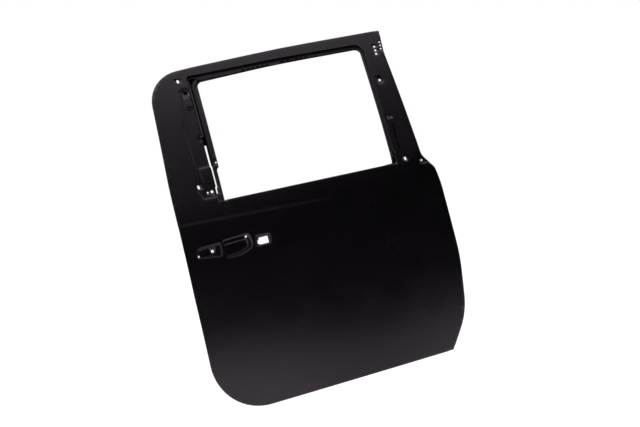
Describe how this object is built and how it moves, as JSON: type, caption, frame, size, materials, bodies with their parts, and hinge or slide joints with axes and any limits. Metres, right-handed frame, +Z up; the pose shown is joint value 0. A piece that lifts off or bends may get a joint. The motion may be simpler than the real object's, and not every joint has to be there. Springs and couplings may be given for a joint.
{
  "type": "car door shell",
  "caption": "Bare pressed-steel shell of a pickup's right-hand rear side door: hemmed outer skin, deep-drawn inner panel with window frame, hinge and latch faces, reinforcements between them.",
  "frame": {"origin": "centre of the upper hinge's seat on the front shut face", "axes": "+X towards the vehicle's front, +Y from the outside into the cab, +Z up, as the door hangs on the vehicle"},
  "size_m": [1.0459, 0.1998, 1.2789],
  "materials": {
    "skin_primer": "satin black dip primer on pressed steel",
    "inner_primer": "dull black dip primer on pressed steel",
    "zinc": "dark dipped zinc plating",
    "mastic": "baked anti-flutter mastic"
  },
  "bodies": {
    "root": {"outer_panel": "skin_primer", "inner_panel": "inner_primer", "outer_belt_reinforcement": "inner_primer", "inner_belt_reinforcement": "inner_primer", "front_pillar_reinforcement": "inner_primer", "rear_pillar_reinforcement": "inner_primer", "panel_stiffener": "inner_primer", "handle_reinforcement": "inner_primer", "upper_hinge_reinforcement": "inner_primer", "lower_hinge_reinforcement": "inner_primer", "check_link_reinforcement": "inner_primer", "latch_reinforcement": "inner_primer", "intrusion_beam": "inner_primer", "beam_front_bracket": "inner_primer", "beam_rear_bracket": "inner_primer", "front_glass_guide": "inner_primer", "front_guide_bracket": "inner_primer", "rear_glass_guide": "inner_primer", "rear_guide_bracket": "inner_primer", "upper_hinge_tapping_plate": "zinc", "lower_hinge_tapping_plate": "zinc", "weld_nut_1": "zinc", "weld_nut_2": "zinc", "weld_nut_3": "zinc", "weld_nut_4": "zinc", "weld_nut_5": "zinc", "weld_nut_6": "zinc", "beam_pad_1": "mastic", "beam_pad_2": "mastic", "beam_pad_3": "mastic", "beam_pad_4": "mastic", "stiffener_pad_1": "mastic", "stiffener_pad_2": "mastic", "stiffener_pad_3": "mastic", "stiffener_pad_4": "mastic", "stiffener_pad_5": "mastic"}
  },
  "joints": []
}
